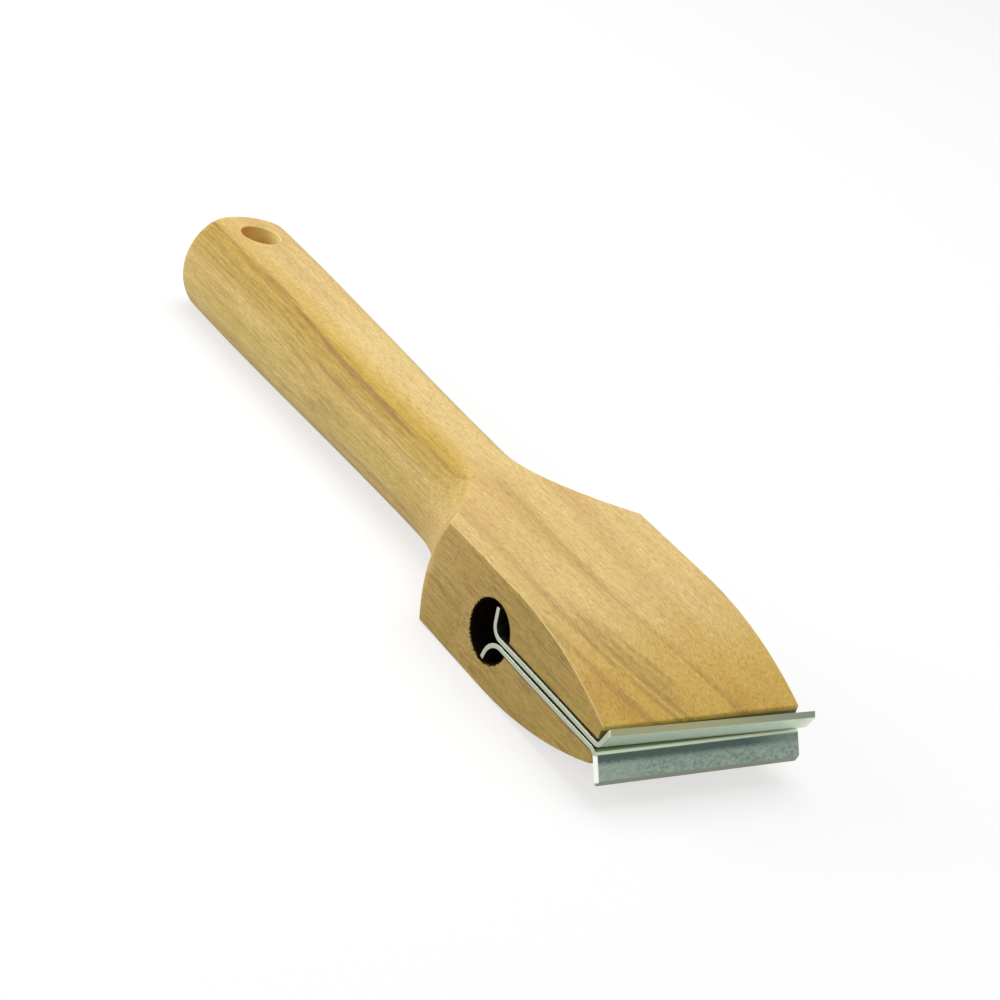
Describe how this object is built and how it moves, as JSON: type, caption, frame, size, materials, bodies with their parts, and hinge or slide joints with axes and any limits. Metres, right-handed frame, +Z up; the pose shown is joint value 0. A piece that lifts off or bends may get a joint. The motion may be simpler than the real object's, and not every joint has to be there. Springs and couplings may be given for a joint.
{
  "type": "hand scraper",
  "caption": "Wooden hand scraper: flat head with a turned grip and hanging hole, and a pair of bent steel scraping blades that slide sideways out of a slot.",
  "frame": {"origin": "Middle of the overall box in X and Y, at the level of the flat underside. The blades are slid a little to the right, as pictured, so the wood's own middle plane lies at X = -0.75 mm.", "axes": "+X to the right along the scraping edges, -Y towards the scraping edges, +Y towards the butt of the grip, +Z up"},
  "size_m": [0.0622, 0.2558, 0.0285],
  "materials": {
    "beech": "bare or lightly oiled, satin",
    "blade_steel": "zinc-grey, dull satin"
  },
  "bodies": {
    "wood": {"handle": "beech"},
    "blade_top": {"upper_blade": "blade_steel"},
    "blade_bottom": {"lower_blade": "blade_steel"}
  },
  "joints": [
    {"name": "upper_blade_slide", "type": "slide", "parent": "wood", "child": "blade_top", "axis": [1, 0, 0], "range_m": [-0.06, 0.057]},
    {"name": "lower_blade_slide", "type": "slide", "parent": "wood", "child": "blade_bottom", "axis": [1, 0, 0], "range_m": [-0.06, 0.057]}
  ]
}
